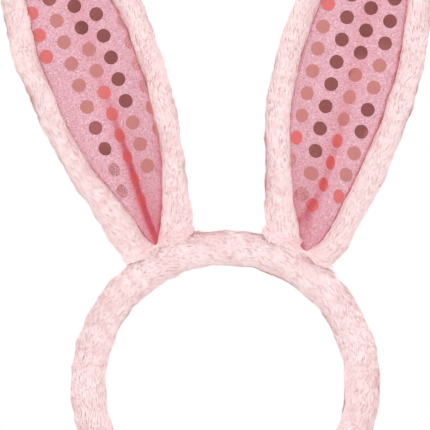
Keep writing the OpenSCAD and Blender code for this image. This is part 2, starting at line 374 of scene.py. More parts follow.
def backing_material():
    """The plush's knitted backing with the roots of its pile."""
    material, tree, shader = new_material("plush_backing", Roughness=0.95, Specular_IOR_Level=0.1)
    feed(tree, shader, Base_Color=tint_by(tree, noise_of(tree, 90), [
        (0.3, (0.93, 0.72, 0.735)), (0.7, (0.96, 0.78, 0.79))]))
    bump_by(tree, shader, noise_of(tree, 1400, 4, (1, 1, 0.35)), 0.35, 0.7)
    return material


def lining_material():
    """Shimmering knit: a soft pink with fine glitter, painted redder as shade in the crease and along
    the seam.
    """
    material, tree, shader = new_material(
        "lining_knit", Roughness=0.5, Specular_IOR_Level=0.5, Sheen_Weight=0.15)
    place = node(tree, "ShaderNodeTexCoord").outputs["Object"]
    cells = node(tree, "ShaderNodeTexVoronoi", Vector=place, Scale=2100.0)
    speck = node(tree, "ShaderNodeSeparateColor", Color=cells.outputs["Color"])
    glitter = tint_by(tree, speck.outputs["Red"], [
        (0.0, (0.60, 0.26, 0.31)), (0.25, (0.70, 0.36, 0.42)), (0.7, (0.77, 0.43, 0.50)),
        (0.95, (0.82, 0.50, 0.58)), (1.0, (0.95, 0.7, 0.77))])
    # The mask deep is painted shade: where it is high, the knit is painted a deep red
    deep = node(tree, "ShaderNodeAttribute", {"attribute_name": "deep"})
    metal = node(tree, "ShaderNodeMath", {"operation": "GREATER_THAN"}, Value=speck.outputs["Green"])
    metal.inputs[1].default_value = 0.86
    # The deep red that the painted shade in the crease and along the seams mixes towards
    feed(tree, shader, Base_Color=mix(tree, deep.outputs["Fac"], glitter, (0.62, 0.085, 0.12)),
         Metallic=metal.outputs["Value"])
    bump_by(tree, shader, speck.outputs["Blue"], 0.10, 0.5)
    return material


def foil_material(name, roughness, low, high, worn=False):
    """Metallised foil; where it is worn, the knit shows through in flecks."""
    material, tree, shader = new_material(name, Roughness=roughness, Metallic=1)
    colour = tint_by(tree, noise_of(tree, 1900, 2), [(0.3, low), (0.7, high)])
    if worn:
        flecks = noise_of(tree, 2800, 2)
        gone = node(tree, "ShaderNodeMapRange", Value=flecks, From_Min=0.48, From_Max=0.6)
        colour = mix(tree, gone.outputs["Result"], colour, (0.84, 0.46, 0.52))
        left = node(tree, "ShaderNodeMath", {"operation": "SUBTRACT"}, Value=1)
        tree.links.new(gone.outputs["Result"], left.inputs[1])
        feed(tree, shader, Metallic=left.outputs["Value"])
    feed(tree, shader, Base_Color=colour)
    bump_by(tree, shader, noise_of(tree, 1500, 2), 0.03, 0.35)
    return material


def plain_material(name, low, high, scale, roughness):
    """A smooth finish whose colour wanders between two tones."""
    material, tree, shader = new_material(name, Roughness=roughness)
    noise = noise_of(tree, scale, 4)
    feed(tree, shader, Base_Color=tint_by(tree, noise, [(0.3, low), (0.7, high)]))
    bump_by(tree, shader, noise, 0.15, 0.3)
    return material


BACKING = backing_material()
# Tints of the pile, varying at random from strand to strand; the darkest goes only on the strands'
# root halves, as painted shade among the strands
STRANDS = [
    strand_material("pile_root_painted_shade", (0.94, 0.73, 0.735)),
    strand_material("pile_blush", (0.95, 0.76, 0.765)),
    strand_material("pile_pink", (0.96, 0.785, 0.79)),
    strand_material("pile_pale", (0.97, 0.81, 0.81)),
]
KNIT = lining_material()
FOILS = {
    "foil": foil_material("foil", 0.24, (0.59, 0.20, 0.19), (0.67, 0.235, 0.225)),
    "satin": foil_material("foil_satin", 0.62, (0.69, 0.30, 0.28), (0.77, 0.35, 0.33)),
    "rose": foil_material("foil_rose", 0.62, (0.84, 0.24, 0.235), (0.92, 0.29, 0.285)),
    "worn": foil_material("foil_worn", 0.36, (0.55, 0.18, 0.17), (0.63, 0.22, 0.21), True),
}
FIBRE = plain_material("wadding_fibre", (0.9, 0.89, 0.87), (0.97, 0.96, 0.95), 600, 0.95)
WIRE = plain_material("wire_coat", (0.86, 0.86, 0.86), (0.92, 0.92, 0.92), 300, 0.35)
PLASTIC = plain_material("strip_plastic", (0.86, 0.85, 0.82), (0.9, 0.89, 0.87), 200, 0.45)
THREAD = plain_material("sewing_thread", (0.90, 0.64, 0.67), (0.94, 0.72, 0.74), 3000, 0.8)


# ---- Pile ----

def sample_skin(piece, density, rng):
    """Random points on a piece's skin, with its normals there."""
    mesh = piece.data
    mesh.calc_loop_triangles()
    corners = np.empty(len(mesh.loop_triangles) * 3, np.int32)
    mesh.loop_triangles.foreach_get("vertices", corners)
    corners = corners.reshape(-1, 3)
    points, normals = vertices_of(piece), normals_of(piece)
    a, b, c = (points[corners[:, k]] for k in range(3))
    area = np.linalg.norm(np.cross(b - a, c - a), axis=1) / 2
    count = int(area.sum() * density)
    chosen = rng.choice(len(area), size=count, p=area / area.sum())
    u, v = rng.random(count), rng.random(count)
    over = u + v > 1
    u[over], v[over] = 1 - u[over], 1 - v[over]
    weights = np.stack([1 - u - v, u, v], axis=1)[:, :, None]
    return ((points[corners[chosen]] * weights).sum(axis=1),
            unit((normals[corners[chosen]] * weights).sum(axis=1)))


def comb(points, normals, flow, seed):
    """The way the pile lies: along flow, turned by soft swirls, and the sines of those turns."""
    along = unit(flow - (flow * normals).sum(axis=1, keepdims=True) * normals)
    aside = np.cross(normals, along)
    turn = 0.26 * ripple(points, 26, seed) + 0.07 * ripple(points, 9, seed + 1)
    along = np.cos(turn)[:, None] * along + np.sin(turn)[:, None] * aside
    return along, np.sin(turn)


def clump(roots, tips, normals, pull, rng):
    """Draws the tips of neighbouring strands on the same side of the plush into tufts."""
    chosen = rng.choice(len(roots), size=max(1, len(roots) // TUFT), replace=False)
    tree = kdtree.KDTree(len(chosen))
    for k, index in enumerate(chosen):
        tree.insert(roots[index], k)
    tree.balance()
    nearest = chosen[[tree.find(p)[1] for p in roots]]
    pull = pull * ((normals * normals[nearest]).sum(axis=1) > 0.7)
    return tips + pull[:, None] * (tips[nearest] - tips)


def strand_mesh(name, roots, middles, tips, normals, asides, widths, tints):
    """Closed slivers as one piece, each with a point at both ends and a triangle across it."""
    count = len(roots)
    half = asides * (widths / 2)[:, None]
    ridge = normals * (widths * 0.1)[:, None]
    rings = [roots, middles - half, middles + half, middles + ridge, tips]
    points = np.stack(rings, axis=1).reshape(-1, 3)
    one = np.array([[0, 1, 3], [0, 3, 2], [0, 2, 1], [4, 3, 1], [4, 2, 3], [4, 1, 2]])
    corners = (one[None] + np.arange(count)[:, None, None] * len(rings)).reshape(-1, 3)
    mesh = bpy.data.meshes.new(name)
    mesh.vertices.add(len(points))
    mesh.vertices.foreach_set("co", (points * MM).astype(np.float32).ravel())
    mesh.loops.add(corners.size)
    mesh.loops.foreach_set("vertex_index", corners.astype(np.int32).ravel())
    mesh.polygons.add(len(corners))
    mesh.polygons.foreach_set("loop_start", np.arange(0, corners.size, 3, dtype=np.int32))
    # Each strand's root half takes the next darker tint than its tip half: painted shade down among
    # the strands
    slots = np.stack([np.maximum(tints - 1, 0)] * 3 + [tints] * 3, axis=1)
    mesh.polygons.foreach_set("material_index", slots.astype(np.int32).ravel())
    mesh.polygons.foreach_set("use_smooth", np.zeros(len(corners), bool))
    for material in STRANDS:
        mesh.materials.append(material)
    mesh.update(calc_edges=True)
    return add_object(name, mesh)


def grow_pile(name, skin, flow_at, height_at, seed, normal_at=None):
    """Covers a plush skin with strands. height_at gives how far they may stand, 0 where none grow."""
    rng = np.random.default_rng(seed)
    points, normals = sample_skin(skin, STRANDS_PER_MM2, rng)
    heights = height_at(points, normals)
    kept = heights > 0
    points, normals, heights = points[kept], normals[kept], heights[kept]
    if normal_at is not None:
        normals = normal_at(points, normals)
    along, turned = comb(points, normals, flow_at(points), seed)
    count = len(points)
    length = STRAND_LENGTH * rng.uniform(0.6, 1.2, count) * (1 + 0.1 * ripple(points, 8, seed + 2)) \
        * np.clip(heights / PILE, 0.3, 1)
    sag = (length * turned) ** 2 / (2 * ROUND)
    stand = heights * rng.uniform(0.92, 1.05, count)
    roots = points - 0.25 * normals
    tips = points + along * (0.95 * length)[:, None] + normals * np.maximum(stand - sag, 0.3)[:, None]
    tips = clump(points, tips, normals, rng.uniform(0, 0.2, count), rng)
    middles = points + (tips - points) * 0.42 + normals * (0.4 * stand)[:, None]
    asides = unit(np.cross(normals, tips - points))
    widths = STRAND_WIDTH * rng.uniform(0.7, 1.2, count)
    tone = 2.2 + 0.6 * ripple(points, 8, seed + 3) + rng.normal(0, 0.45, count)
    tints = np.clip(np.round(tone), 1, len(STRANDS) - 1).astype(int)
    pieces = []
    total = math.ceil(count / PIECE_STRANDS)
    for k in range(total):
        part = slice(k, None, total)
        pieces.append(strand_mesh(f"{name}_{k + 1}", roots[part], middles[part], tips[part],
                                  normals[part], asides[part], widths[part], tints[part]))
    return pieces


# ---- Band ----

def band_point(angle, out=0.0):
    """A point on the band at angle degrees past the crown, out from its centreline."""
    turn = np.radians(angle)
    reach = BAND_R + out
    return np.stack([reach * np.sin(turn), 0 * turn, HOOP_Z + reach * np.cos(turn)], axis=-1)


def band_out(angle):
    """The way out from the hoop's middle there."""
    turn = np.radians(angle)
    return np.stack([np.sin(turn), 0 * turn, np.cos(turn)], axis=-1)


def with_arm(piece):
    """Bakes the placement of a piece of half of the band into its mesh."""
    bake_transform(piece)
    return piece


def sleeve(side):
    """Half of the plush sleeve, from the crown to its gathered end, with the seam on the inside."""
    sign = SIGNS[side]
    sides = 72
    base_r = SLEEVE_R - PILE
    rings, end_rings = 330, 14
    angles = np.concatenate([np.linspace(0, BAND_END, rings), np.full(end_rings, float(BAND_END))])
    gathered = np.concatenate([np.zeros(rings), np.linspace(0.05, 0.995, end_rings)])
    turn = full_turn(sides)
    out = band_out(sign * angles)
    onward = np.cross(BACK, out) * sign
    centres = band_point(sign * angles) + (base_r * gathered)[:, None] * onward * 0.95
    radius = base_r * np.sqrt(1 - gathered ** 2)
    from_seam = np.abs(np.angle(np.exp(1j * (turn - math.pi)))) * base_r
    dent = SEAM_DEPTH * np.exp(-(from_seam / SEAM_WIDTH) ** 2)
    pleats = 0.35 * np.cos(11 * turn)[None, :] * (gathered * (1 - gathered) * 4)[:, None]
    ring = radius[:, None] - dent[None, :] * (radius[:, None] / base_r) + pleats
    piece = add_closed(side + "_sleeve_plush", *tube(centres, (out, BACK), ring, sides), BACKING)
    before = vertices_of(piece)
    raise_nap(piece, 11)
    after = vertices_of(piece)
    # The halves meet flat at the crown
    off_crown = smoothstep(0, 6, np.abs(before[:, 0]))
    after[:, 0] = before[:, 0] + (after[:, 0] - before[:, 0]) * off_crown
    after[np.abs(before[:, 0]) < 0.05, 0] = 0
    move_vertices(piece, after)
    return piece


def sleeve_flow(points):
    """From the left end to the right one, leaning towards the head."""
    angle = np.degrees(np.arctan2(points[:, 0], points[:, 2] - HOOP_Z))
    out = band_out(angle)
    return np.cross(BACK, out) - 0.3 * out


def sleeve_normals(points, normals):
    """Square to the band at the crown, where the halves meet."""
    level = normals.copy()
    level[:, 0] *= smoothstep(0, 2, np.abs(points[:, 0]))
    return unit(level)


def front_hem(ear, along):
    """The angle at which an ear's base ends in front, which is smaller below the V."""
    return HEM_FRONT * (1 - 0.45 * np.exp(-((along - v_foot(ear)) / 4) ** 4))


def above_hem(points, ear):
    """How far points near an ear's base are from the tilt axis, along it, and past its hem."""
    local = (points - ear["root"]) @ ear["root_axes"]
    radial = np.hypot(local[:, 1], local[:, 2])
    angle = np.degrees(np.arctan2(np.abs(local[:, 1]), local[:, 2]))
    hem = np.where(local[:, 1] < 0, front_hem(ear, local[:, 0]), HEM_BACK)
    return radial, local[:, 0], np.radians(hem - angle) * SADDLE_IN


def sleeve_height(points, normals):
    """None well under the ears' bases, and longer where it closes the gap along their edges."""
    height = np.full(len(points), PILE + 0.1)
    for ear in EARS.values():
        _, along, above = above_hem(points, ear)
        inside = smoothstep(SADDLE_HALF_W + 2.0, SADDLE_HALF_W, np.abs(along))
        height -= 0.5 * inside * smoothstep(1.5, 3.5, above)
        height += 0.8 * inside * np.exp(-((above + 0.6) / 1.8) ** 2)
        end = np.exp(-((np.abs(along) - SADDLE_HALF_W + 1.2) / 1.7) ** 2)
        height += 2.2 * smoothstep(0, 2, above) * end
        height[(np.abs(along) < SADDLE_HALF_W - 2) & (above > BARE_PAST)] = 0
    height[np.abs(points[:, 0]) < 0.02] = 0
    return height


def core(side):
    """Half of the sprung plastic strip."""
    sign = SIGNS[side]
    angles = np.linspace(0, CORE_END, 120)
    half_w, half_t, sides = 4.5, 1.0, 24
    turn = full_turn(sides)
    squared = np.stack([np.sign(np.cos(turn)) * np.abs(np.cos(turn)) ** 0.4 * half_t,
                        np.sign(np.sin(turn)) * np.abs(np.sin(turn)) ** 0.2 * half_w], axis=1)
    points = band_point(sign * angles)[:, None] \
        + squared[None, :, :1] * band_out(sign * angles)[:, None] + squared[None, :, 1:] * BACK
    return add_closed(side + "_core", points.reshape(-1, 3), capped(len(angles), sides), PLASTIC)


def band_wadding(side):
    """Half of the wadding wrapped round the strip."""
    sign = SIGNS[side]
    angles = np.linspace(0, CORE_END, 160)
    centres = band_point(sign * angles)
    lumps = SLEEVE_R - 2.6 + 0.2 * ripple(centres, 9, 5)
    shell = tube(centres, (band_out(sign * angles), BACK), lumps, 40, 4.8)
    return add_closed(side + "_band_wadding", *shell, FIBRE)


def stitch(path, beside, radius):
    """One stitch of thread along a path."""
    ahead = unit(np.gradient(path, axis=0))
    across = unit(np.cross(ahead, beside))
    return tube(path, (across, np.cross(ahead, across)), radius, 6)


def seam_thread(side):
    """Half of the ladder stitch that closes the sleeve along the inside of the hoop."""
    parts = []
    t = np.linspace(0, 1, 7)
    out = -(SLEEVE_R - PILE - 0.55) - 0.35 * np.sin(math.pi * t)
    for angle in np.arange(1.5, BAND_END - 2, 2.4):
        path = band_point(SIGNS[side] * (angle + 0.9 * t), out) + np.outer(1.1 - 2.2 * t, BACK)
        parts.append(stitch(path, BACK + np.array([0.2, 0, 0]), 0.28))
    return add_closed(side + "_seam_stitches", *join(*parts), THREAD)


def build_band():
    for side in SIGNS:
        skin = sleeve(side)
        pile = grow_pile(side + "_sleeve_pile", skin, sleeve_flow, sleeve_height,
                         SLEEVE_SEEDS[side], sleeve_normals)
        with_arm(skin)
        for piece in pile:
            with_arm(piece)
        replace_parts(skin, "sleeve_crown", side + "_sleeve", side + "_sleeve_end")
        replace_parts(with_arm(core(side)), "band_core")
        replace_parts(with_arm(band_wadding(side)), "band_wadding")
        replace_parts(with_arm(seam_thread(side)), "sleeve_seam")


# ---- Ears ----

def closing(z):
    """How far the rims spread inwards where they close the foot of the V."""
    return 0.3 * np.exp(-(np.maximum(z, 9) - 10.2) / 2.5)


def half_spread(z):
    """Half the distance between the rims' centrelines at height z."""
    z = np.asarray(z, float)
    low = ROOT_HALF + (WIDE_HALF - ROOT_HALF) \
        * np.sin(np.pi / 2 * np.minimum((z - ROOT_Z) / (FOLD_Z - ROOT_Z), 1))
    high = WIDE_HALF * np.sqrt(np.maximum(0, 1 - ((z - FOLD_Z) / TIP_RISE) ** 2))
    return np.where(z < FOLD_Z, low, high) - closing(z)


def spread_slope(z):
    return (half_spread(np.asarray(z) + 0.1) - half_spread(np.asarray(z) - 0.1)) / 0.2


def rim_radius(z):
    """The rim's radius across the ear."""
    z = np.asarray(z, float)
    return RIM_R + RIM_ROOT_EXTRA * np.exp(-(z - ROOT_Z) / ROOT_FADE) + closing(z)


def rim_flatness(z):
    """Its radius from front to back is this share of the one across, so that it fits the band."""
    flat = (RIM_R + RIM_BAND_EXTRA) / rim_radius(z)
    return flat + (1 - flat) * smoothstep(16, 60, z)


def lining_reach(z):
    """Half width of the lining, out to where it is sewn into the rims."""
    bare = half_spread(z) - (rim_radius(z) - PILE) * np.sqrt(1 + spread_slope(z) ** 2)
    return np.maximum(bare + TUCK, 0.6)


def crease_place(ear, z):
    """How far outwards from the ear's middle its crease is at height z."""
    place, low, high, middle = ear["crease"]
    z = np.asarray(z, float)
    return place - np.where(z < middle, low, high) * (z - middle) ** 2


def crease_in_lining(ear, z, reach):
    return np.clip(crease_place(ear, z), -CREASE_SHARE * reach, CREASE_SHARE * reach)


def lining_depth(ear, out, z):
    """How far back the lining is, at out from the middle on the ear's outer side."""
    reach = lining_reach(z)
    deep = 7.4 * (1 - np.exp(-np.maximum(z - 9, 0) / 14)) * (1 - 0.66 * smoothstep(60, 140, z))
    half = np.minimum(1.6 + 1.6 * smoothstep(40, 110, z), 0.3 * reach)
    place = crease_in_lining(ear, z, reach)
    steep = np.tan(np.radians(60 * (1 - smoothstep(40, 140, z))))
    drop = np.minimum(2 * half * steep, (0.75 + 0.17 * smoothstep(40, 60, z)) * deep)
    low, high = place - half, place + half
    brim = 0.36 * (low + reach)
    level = 0.06
    rise = (deep - level * (low + reach - brim)) / brim
    fall = drop / (2 * half)
    rest = (deep - drop) / (reach - high)
    soft = ear["softness"] * (0.4 + 0.6 * smoothstep(30, 110, z))
    depth = rise * (out + reach) - (rise - level) * ramp(out + reach - brim, 1.5) \
        - (level + fall) * ramp(out - low, soft) + (fall - rest) * ramp(out - high, soft)
    edge = 1 - smoothstep(0, 3.2, reach - np.abs(out))
    swell, length, phase = ear["swell"]
    sway = swell * np.sin(2 * np.pi * (z - phase) / length) * smoothstep(-4, 6, out - high)
    return depth + 1.6 * edge + sway * smoothstep(0.5, 8, reach - np.abs(out)) * smoothstep(20, 60, z)


def set_aside(ear, out, z):
    """How far outwards an ear's parts are set from its even outline."""
    foot, place, width = ear["foot"]
    total = foot * np.exp(-((out - place) / width) ** 2) * (1 - smoothstep(25, 65, z))
    for amount, across, rise, fall in ear["aside"]:
        total = total + amount * smoothstep(*across, out) * smoothstep(*rise, z) \
            * (1 - smoothstep(*fall, z))
    return total


def to_shared(ear, local):
    """Points of an ear's own frame in the shared frame."""
    local = np.array(local, float)
    out, z = ear["sign"] * local[..., 0], local[..., 2]
    local[..., 0] = ear["sign"] * (out + set_aside(ear, out, z))
    return ear["origin"] + local @ ear["axes"]


def to_ear(ear, points):
    """The reverse of to_shared."""
    local = (points - ear["origin"]) @ ear["axes"].T
    aside, z = ear["sign"] * local[..., 0], local[..., 2]
    out = aside
    for _ in range(8):
        out = aside - set_aside(ear, out, z)
    local[..., 0] = ear["sign"] * out
    return local


def v_foot(ear):
    """Where along the tilt axis the foot of the V is."""
    return (to_shared(ear, (0, 0, LINING_FOOT)) - ear["root"]) @ ear["root_across"]


def ear_record(side, **looks):
    """An ear's looks with its frame, and the frame of the axis that it tilts about."""
    tilt, fold = JOINTS[side + "_ear_tilt"], JOINTS[side + "_ear_fold"]
    across, root_across = np.array(fold["axis"]), np.array(tilt["axis"])
    up, root_up = np.cross(across, BACK), np.cross(root_across, BACK)
    return {
        **looks, "side": side, "sign": SIGNS[side],
        "up": up,
        "axes": np.stack([across, BACK, up]),
        "origin": np.array(fold["pos_m"]) / MM - FOLD_Z * up - FOLD_Y * BACK,
        "root": np.array(tilt["pos_m"]) / MM,
        "root_across": root_across,
        "root_up": root_up,
        "root_axes": np.stack([root_across, BACK, root_up], axis=1),
    }


# crease: how far out it is at its middle height, its bend below and above that, and that height
# softness: over what width the crease's edges are rounded
# swell: height, wavelength and phase up the ear of the swells of the cloth outside the crease
# dot_phase: how far up the rows of dots are set
# gather: how far the dots inside the crease are drawn into it, everywhere and low down
# crimson: how red the crease is painted as shade, and the heights over which it loses that
# seams: how red the lining is painted as shade along its inner and outer seam
# foot: how far out the foot of the V is set, about where and over what width
# aside: how far parts are set out, across what widths, where that comes in and where it fades
# finishes: for each column outwards from the crease, the finish of its dots up to a height, then
# the next; those without one are rubbed bare
EARS = {
    "left": ear_record(
        "left",
        seed=31,
        crease=(-1.2, 0.0, 2.0e-4, 60),
        softness=0.7,
        swell=(0.7, 60, 80),
        dot_phase=-0.5,
        gather=(1.7, 0),
        crimson=(0.9, 45, 110),
        seams=(0.95, 0.3),
        foot=(1.4, -3, 6),
        aside=[
            (-2.2, (3, 12), (-10, 0), (40, 85)),
            (1.7, (8, 20), (-10, 0), (22, 45)),
            (-2.0, (18, 31), (50, 75), (100, 130)),
            (1.8, (-18, -31), (15, 40), (100, 135)),
        ],
        finishes={
            2: ((112, ""), (300, "rose")),
            1: ((40, ""), (60, "worn"), (85, "foil"), (145, "satin"), (300, "foil")),
            0: ((100, "rose"), (125, "satin"), (300, "foil")),
            -1: ((45, ""), (82, "satin"), (300, "foil")),
            -2: ((50, ""), (85, "satin"), (300, "worn")),
        }),
    "right": ear_record(
        "right",
        seed=57,
        crease=(5.0, 3.2e-3, 5.0e-4, 84),
        softness=1.1,
        swell=(0.5, 52, 66),
        dot_phase=-2.0,
        gather=(0, 3.2),
        crimson=(0.5, 20, 50),
        seams=(0.5, 0.8),
        foot=(4.2, 4, 10),
        aside=[
            (2.0, (-90, -80), (4, 18), (40, 85)),
        ],
        finishes={
            2: ((95, "satin"), (300, "worn")),
            1: ((50, "rose"), (70, "satin"), (96, "foil"), (120, "satin"), (300, "foil")),
            0: ((76, "rose"), (100, "satin"), (300, "foil")),
            -1: ((44, "worn"), (56, "satin"), (300, "foil")),
            -2: ((60, "worn"), (75, "rose"), (130, "satin"), (300, "rose")),
        }),
}


def rim_path(ear, rise):
    """The rims' centreline, from rise above the tilt axis: up one side, over the tip and down."""
    legs = []
    for side in (-1, 1):
        foot = (to_shared(ear, (side * ROOT_HALF, 0, 0)) - ear["root"]) @ ear["root_up"]
        low = (rise - foot) / (ear["up"] @ ear["root_up"])
        heights = np.linspace(low, FOLD_Z, 90)[:-1]
        legs.append(np.stack([side * half_spread(heights), 0 * heights, heights], axis=1))
    turn = np.linspace(math.pi, 0, 110)
    tip = np.stack([WIDE_HALF * np.cos(turn), 0 * turn, FOLD_Z + TIP_RISE * np.sin(turn)], axis=1)
    return np.concatenate([legs[0], tip, legs[1][::-1]])


def rim_tube(ear, path, radii, sides, bore=None):
    """A tube along the rims, in the shared frame."""
    ahead = unit(np.gradient(path, axis=0))
    flat = rim_flatness(path[:, 2])[:, None] * BACK
    points, faces = tube(path, (np.cross(ahead, BACK), flat), radii, sides, bore)
    return to_shared(ear, points), faces


def back_grids(ear):
    """Front and rear faces of the plush back, between the rims."""
    heights = np.linspace(9.5, LINING_TOP, 124)[:, None]
    share = np.linspace(-1, 1, 46)[None, :]
    x = half_spread(heights) * share
    z = heights + 0 * x
    reach = lining_reach(heights)
    out = np.clip(ear["sign"] * x, -reach + 0.3, reach - 0.3)
    front = lining_depth(ear, out, z) + BACK_GAP
    deepest = front.max(axis=1, keepdims=True)
    edge = rim_radius(heights) * rim_flatness(heights) - PILE - 0.6
    bulge = np.maximum(deepest + 2.0 - edge, 1.0)
    behind = edge + bulge * (1 - share ** 2) ** 0.8
    front = np.minimum(front, behind - 1.6)
    return np.stack([x, front, z], axis=2), np.stack([x, behind, z], axis=2)


def saddle_grids(ear):
    """Inner and outer faces of the base astride the band."""
    along = np.linspace(-SADDLE_HALF_W, SADDLE_HALF_W, 40)[:, None]
    turn = np.linspace(0, 1, 44)[None, :]
    turn = np.radians(turn * HEM_BACK - (1 - turn) * front_hem(ear, along))
    ends = np.abs(along / SADDLE_HALF_W) ** 4
    hem = np.abs(turn / np.where(turn < 0, turn.min(), turn.max())) ** 3
    middle = np.exp(-((along - v_foot(ear)) / 4.5) ** 2) * (1 - smoothstep(0.0, 0.5, turn))
    thickness = 2.2 - 0.7 * ends - 1.0 * hem * (1 - middle) - 1.3 * middle
    grids = []
    for radius in (SADDLE_IN + 0 * thickness, SADDLE_IN + thickness):
        grids.append(ear["root"] + along[..., None] * ear["root_across"]
                     + (radius * np.sin(turn))[..., None] * BACK
                     + (radius * np.cos(turn))[..., None] * ear["root_up"])
    return grids


def fit_band(piece, ear):
    """Moves the skin out of the band, on to the base's inner face, and thins it towards the hem."""
    points = vertices_of(piece)
    off = points - ear["root"]
    round_axis = off - (off @ ear["root_across"])[:, None] * ear["root_across"]
    radial, _, above = above_hem(points, ear)
    thickest = 0.35 + 0.6 * np.maximum(above, 0) + 20 * smoothstep(2.5, 6, above)
    fitted = np.clip(radial, SADDLE_IN, SADDLE_IN + thickest)
    fitted = np.where(radial < 15, fitted, radial)
    move_vertices(piece, points + unit(round_axis) * (fitted - radial)[:, None])


def ear_plush(ear):
    """The ear's plush: padded rims, back and the base astride the band, sewn into one skin."""
    path = rim_path(ear, 7)
    rims = rim_tube(ear, path, rim_radius(path[:, 2]) - PILE, 32)
    front, behind = (to_shared(ear, grid) for grid in back_grids(ear))
    inner, outer = saddle_grids(ear)
    points, faces = join(rims, slab(front, behind), slab(outer, inner))
    piece = add_closed(ear["side"] + "_ear_plush", points, faces, BACKING)
    weld(piece, 0.85, 7)
    raise_nap(piece, ear["seed"])
    fit_band(piece, ear)
    return piece


def ear_flow(ear):
    """Up along the rims, aside at the foot of the V, and over the base's hem along the band."""
    def flow_at(points):
        x, y, z = to_ear(ear, points).T
        slope = np.clip(spread_slope(np.clip(z, 12, 197)), -3, 3)
        lean = np.clip(x / np.maximum(half_spread(z), 4), -1.3, 1.3)
        veer = 2.6 * np.tanh(x / 1.2) * np.exp(-((z - 9) / 4) ** 2 - (x / 8) ** 2)
        up = np.stack([lean * slope + 0.15 * lean + veer, 0 * z, 1 + 0 * z], axis=1)
        up = unit(up @ ear["axes"])
        radial, along, above = above_hem(points, ear)
        near = (1 - smoothstep(0.5, 4.5, above)) * (1 - smoothstep(14, 18, radial))
        near *= (1 - smoothstep(13, 18, np.abs(along))) * smoothstep(2, 6, np.abs(x))
        side = np.where(y < 0, -1, 1)[:, None]
        onward = 0.8 * (1 - smoothstep(6, 13, along))[:, None]
        over = onward * ear["root_across"] + 0.5 * side * BACK - 0.45 * ear["root_up"]
        return up * (1 - near)[:, None] + over * near[:, None]
    return flow_at


def in_pocket(ear, x, y, z, backwards):
    """Which points are in the pocket between the lining and the back, where no pile grows."""
    reach = lining_reach(z)
    level = lining_depth(ear, np.clip(ear["sign"] * x, -reach, reach), z)
    back_face = np.minimum(level + BACK_GAP, rim_radius(z) * rim_flatness(z)) + 1.2
    pocket = (np.abs(x) < half_spread(z)) & (y > level - 0.2) & (y < back_face) & (z < LINING_TOP)
    pocket &= (z > 13) | ((z > 9) & (y < 4.5) & (np.abs(x) < 5))
    return pocket & (backwards < 0.5)


def ear_height(ear):
    """None in the pocket and inside the base, and shorter along seams, hems and ends."""
    def height_at(points, normals):
        x, y, z = to_ear(ear, points).T
        backwards = (normals @ ear["axes"].T)[:, 1]
        height = np.full(len(points), PILE + 0.15)
        height[in_pocket(ear, x, y, z, backwards)] = 0
        # Against the band
        base = (points - ear["root"]) @ ear["root_axes"]
        away = unit(base * np.array([0, 1, 1]))
        facing = (normals @ ear["root_axes"] * away).sum(axis=1)
        radial, along, above = above_hem(points, ear)
        height[(radial < SADDLE_IN + 1.6) & (facing < 0.2)] = 0
        # The very foot of the V, and the hem
        height[(np.abs(x) < 1.2) & (z < 13) & (y < 3) & (y > -6)] = 0
        height *= 0.45 + 0.55 * np.maximum(smoothstep(0, 3.5, above), smoothstep(12, 14, radial))
        # The base's ends, and about the foot of the V
        ends = smoothstep(SADDLE_HALF_W - 4, SADDLE_HALF_W, np.abs(along)) * (radial < 14)
        foot = np.exp(-(x / 5) ** 2 - ((z - 10) / 4) ** 2) * (y < 3)
        height *= 1 - 0.6 * np.maximum(ends, foot)
        # Where the rim meets the lining, so that the seam stays crisp
        from_seam = np.abs(np.abs(x) - lining_reach(z) + TUCK)
        near = smoothstep(2.8, 0.3, from_seam) * (y > -3.5) * (backwards < 0.3)
        return height * (1 - 0.45 * near)
    return height_at


def lining_grid(ear, behind):
    """The lining's points, or a face this far behind it."""
    heights = np.linspace(LINING_FOOT, LINING_TOP, 230)[:, None]
    share = np.linspace(-1, 1, 61)[None, :]
    reach = lining_reach(heights)
    out = reach * share
    z = heights + 0 * out
    depth = lining_depth(ear, out, z) + behind
    return np.stack([ear["sign"] * out, depth, z], axis=2)


def lining(ear):
    """The creased knit lining, sewn into the rims. Its mask "deep" is painted shade: how much redder
    the knit is painted along the seams, in and about the crease and low down.
    """
    front, rear = (to_shared(ear, lining_grid(ear, behind)) for behind in (0, 0.5))
    piece = add_closed(ear["side"] + "_lining_knit", *slab(front, rear), KNIT)
    x, _, z = to_ear(ear, vertices_of(piece)).T
    out = ear["sign"] * x
    from_seam = lining_reach(z) - TUCK - np.abs(out)
    # Painted shade along the seams, where the lining turns in under the rims
    inner, outer = ear["seams"]
    seam = np.where(out < 0, inner * (1 - smoothstep(-0.5, 1.2 + 2 * inner, from_seam)),
                    outer * (1 - smoothstep(-0.5, 1.2 + 2 * outer, from_seam)))
    # Painted shade in and about the crease, fading out up the ear
    strength, low, high = ear["crimson"]
    past = out - crease_place(ear, z) + 0.6
    wide = np.where(past < 0, 0.9, 1.6 + 2.6 * strength ** 2 * np.exp(-((z - 38) / 22) ** 2))
    crease = strength * np.exp(-(past / wide) ** 2) * (1 - smoothstep(low, high, z))
    shade = 0.2 * np.exp(-(past / 6) ** 2) + 0.33 * strength * (1 - smoothstep(12, 42, z))
    # deep sums the painted shade along the seams, in the crease and low down
    deep = np.clip(seam + crease + shade, 0, 0.95)
    mask = piece.data.attributes.new("deep", "FLOAT", "POINT")
    mask.data.foreach_set("value", deep.astype(np.float32))
    return piece


def dot_places(ear):
    """The dots as (column outwards from the crease, height, finish)."""
    for column, bands in ear["finishes"].items():
        for row in range(-1, 18):
            height = ear["dot_phase"] - DOT_DROP * column + row * DOT_PITCH
            finish = next(kind for top, kind in bands if height < top)
            if finish and DOTS_FROM < height < LINING_TOP - 6:
                yield column, height, finish


